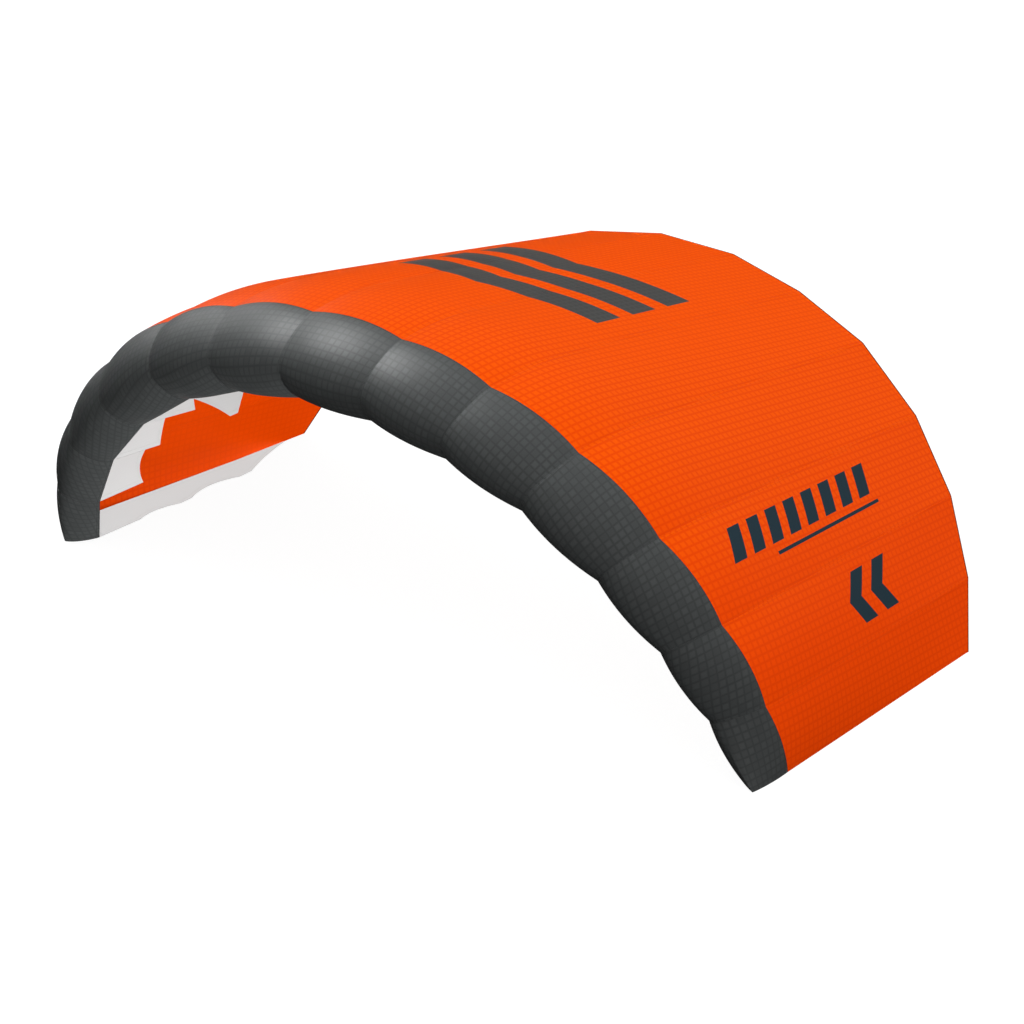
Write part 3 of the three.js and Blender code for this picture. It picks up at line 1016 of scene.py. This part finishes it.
# %% Cut and place the ribs
def rib_panel(rib, number):
    tip = rib["index"] == TIP
    upper = upper_edge(rib, TIP_END if tip else RIB_END)
    free = (tip_free_edge if tip else inner_free_edge)(rib, upper[-1])
    lower = np.concatenate([lower_nose(rib), free])
    places = rib_places(upper[:, 0].min(), upper[-1, 0], free)
    top = np.interp(places, upper[:, 0], upper[:, 1])
    foot = np.interp(places, lower[:, 0], lower[:, 1])
    level = np.concatenate([[0.0], np.linspace(LOWEST_LEVEL, 1, RIB_LEVELS)])
    heights = foot + (top - foot) * level[:, None]
    flat = np.stack([np.broadcast_to(places, heights.shape), heights], -1)
    points = placed(rib, flat.reshape(-1, 2)).reshape(*flat.shape[:2], 3)
    if tip:
        points = ramped(points, places, level)
        faces = [points + [0.0, 0.0, RIB_CLOTH], points]
    else:
        side = np.cross(rib["back"], rib["out"]) * RIB_CLOTH / 2
        faces = [points + side, points - side]
    # Under the nose there is no free edge, so its distance is made too large for a row of stitches
    under_nose = np.where(places > lower_nose(rib)[-1, 0], 0.0, 1.0)
    maps = dict(
        cloth=flat / RIB_SQUARE,
        edges=np.stack([top - heights, heights - foot + under_nose], -1),
    )
    piece = sheet_mesh(f"rib_panel_{number + 1:02d}", faces[0], faces[1], maps)
    area = float(np.sum((top - foot)[:-1] * np.diff(places)))
    finished(piece, f"rib_{number + 1:02d}", RIB_CLOTH_FINISH)
    return area


rib_area = sum(rib_panel(rib, number) for number, rib in enumerate(RIBS))
print("ribs", round(rib_area, 2), "m2")

# %% [markdown]
# ## Floor
# The wing stands on a plain pale floor. The floor glows, as a lit studio table does, so that the shadow
# under the arch stays pale. What the camera sees of it glows far more than what lights the wing, and the
# glow is left out of the lamps' sampling, because it would be taken for one huge lamp and add noise.

# %% Floor
FLOOR_SIZE = 60.0
FLOOR_DROP = 0.0004
FLOOR_GREY = (0.22, 0.22, 0.22, 1.0)
FLOOR_GLOW_SEEN = 0.93
FLOOR_GLOW_CAST = 0.02
WHITE = (1.0, 1.0, 1.0, 1.0)
bpy.ops.mesh.primitive_plane_add(size=FLOOR_SIZE, location=(0, 0, -FLOOR_DROP))
floor = bpy.context.object
floor.name = "pale_floor"
floor_finish, floor_tree, floor_shader = new_cloth("pale floor", roughness=0.9, gloss=0.0)
floor_shader.inputs["Base Color"].default_value = FLOOR_GREY
floor_shader.inputs["Emission Color"].default_value = WHITE
path = floor_tree.nodes.new("ShaderNodeLightPath")
glow = calc(floor_tree, "MULTIPLY_ADD", path.outputs["Is Camera Ray"],
            FLOOR_GLOW_SEEN - FLOOR_GLOW_CAST, FLOOR_GLOW_CAST)
floor_tree.links.new(glow, floor_shader.inputs["Emission Strength"])
floor_finish.cycles.emission_sampling = "NONE"
floor.data.materials.append(floor_finish)
floor.visible_glossy = False
print("floor", FLOOR_SIZE, "m wide")

# %% [markdown]
# ## Light
# An even white sky lights everything. Soft suns shape the cloth on top of it. One lamp could not suit
# orange skin, dark nose and pale ribs at once, so most lamps reach only one group of pieces, as a
# photographer flags a lamp off part of a set. The key models the crowns from high on the left. The shine
# and the two rims give only highlights. The fills give only soft light without highlights or shadows. One
# comes from the front. Others come from below, on each half of the skin, on the nose and on the far tip,
# and from above on the ribs under the skin, which the sky hardly reaches.


# %% Groups of pieces and lamps
def group_of(name, pieces):
    """A collection outside the scene, only for saying what a lamp reaches."""
    group = bpy.data.collections.new(name)
    for piece in pieces:
        group.objects.link(piece)
    return group


def soft_sun(name, strength, spread, source, gives, reach=None, blockers=None):
    """A sun with its spread in degrees, which gives soft light or only shine."""
    lamp = bpy.data.objects.new(name, bpy.data.lights.new(name, "SUN"))
    lamp.data.energy = strength
    lamp.data.angle = math.radians(spread)
    lamp.rotation_mode = "QUATERNION"
    lamp.rotation_quaternion = Vector(source).to_track_quat("Z", "Y")
    lamp.light_linking.receiver_collection = reach
    lamp.light_linking.blocker_collection = blockers
    lamp.visible_glossy = gives == "shine"
    lamp.visible_diffuse = gives == "soft"
    bpy.context.scene.collection.objects.link(lamp)


# %% Sky
SKY = 0.965
world = bpy.data.worlds.new("even sky")
bpy.context.scene.world = world
world.use_nodes = True
world.node_tree.nodes["Background"].inputs["Color"].default_value = WHITE
world.node_tree.nodes["Background"].inputs["Strength"].default_value = SKY
world.cycles_visibility.glossy = False
bpy.context.scene.view_settings.view_transform = "Standard"
print("sky of strength", SKY)

# %% What the lamps reach
FAR_SKIN_CELLS = 7
FAR_NOSE_CELLS = 6


def panels_of(kind):
    """The panels of one kind, from the far tip to the near one."""
    panels = [piece for piece in bpy.context.scene.objects if piece.name.startswith(kind + "_panel_")]
    return sorted(panels, key=lambda piece: piece.name)


skins, noses, ribs = panels_of("skin"), panels_of("nose"), panels_of("rib")
ALL_CLOTH = group_of("all cloth", skins + noses + ribs)
# A lamp that only this speck can block casts no shadows
speck = bpy.data.objects.new("speck", bpy.data.meshes.new("speck"))
NOTHING = group_of("nothing", [speck])
FAR_SKIN = group_of("far skin", skins[:FAR_SKIN_CELLS])
NEAR_SKIN = group_of("near skin", skins[FAR_SKIN_CELLS:])
ALL_SKIN = group_of("all skin", skins)
ALL_NOSE = group_of("all nose", noses)
FAR_NOSE = group_of("far nose", noses[:FAR_NOSE_CELLS])
FAR_RIBS = group_of("far ribs", ribs[1:7])
NEAR_RIBS = group_of("near ribs", ribs[7:-1])
TIP_RIBS = group_of("tip ribs", [ribs[0], ribs[-1]])
print("lit:", len(skins), "skin panels,", len(noses), "nose panels and", len(ribs), "ribs")

# %% Key and highlights: strength, spread in degrees and where the light comes from
RIM_FROM = (-0.84, 0.44, 0.31)
soft_sun("key", 0.35, 38, (-0.5, -0.1, 0.85), "soft")
soft_sun("shine", 5.5, 22, (-0.52, 0.0, 0.85), "shine", reach=ALL_CLOTH)
soft_sun("nose_key", 2.6, 40, (0.10, 0.30, 0.95), "soft", reach=ALL_NOSE)
soft_sun("rim_skin", 1.7, 24, RIM_FROM, "shine", reach=ALL_SKIN)
soft_sun("rim_nose", 0.5, 24, RIM_FROM, "shine", reach=ALL_NOSE)

# %% Fills, all as wide as 60 degrees
FILL_SPREAD = 60
FILLS = [
    ("front_fill", 0.42, (0.66, -0.60, 0.30), ALL_CLOTH),
    ("left_fill", 3.0, (0.30, 0.0, -0.95), FAR_SKIN),
    ("right_fill", 3.0, (-0.30, 0.0, -0.95), NEAR_SKIN),
    ("nose_fill", 1.6, (0.4, 0.45, -0.8), ALL_NOSE),
    ("tip_fill", 3.5, (0.75, 0.0, -0.65), FAR_NOSE),
    ("left_ribs_fill", 3.2, (0.2, -0.45, 0.85), FAR_RIBS),
    ("right_ribs_fill", 3.2, (-0.2, -0.45, 0.85), NEAR_RIBS),
    ("tip_ribs_fill", 3.9, (0.0, -0.45, 0.85), TIP_RIBS),
]
for name, strength, source, reach in FILLS:
    soft_sun(name, strength, FILL_SPREAD, source, "soft", reach=reach, blockers=NOTHING)
print(len(FILLS), "fills")

# %% [markdown]
# ## Camera
# The camera stands far off with a long lens, in front of the wing and to its right. It looks down on it,
# with the horizon a little tilted. Its place and direction come from fitting the wing's outline.

# %% Camera
CAMERA_PLACE = Vector((5.0244, -7.8092, 3.9791))
CAMERA_AHEAD = Vector((-0.49947, 0.78080, -0.37534))
CAMERA_TILT = math.radians(4.77)
SENSOR_WIDTH = 36.0
LENS = 160.67
camera = bpy.data.objects.new("camera", bpy.data.cameras.new("camera"))
camera.data.sensor_width = SENSOR_WIDTH
camera.data.lens = LENS
camera.location = CAMERA_PLACE
camera.rotation_mode = "QUATERNION"
level = CAMERA_AHEAD.to_track_quat("-Z", "Y")
camera.rotation_quaternion = level @ Matrix.Rotation(CAMERA_TILT, 3, "Z").to_quaternion()
bpy.context.scene.collection.objects.link(camera)
bpy.context.scene.camera = camera
print("camera's right:", [round(x, 4) for x in camera.rotation_quaternion @ Vector((1, 0, 0))])
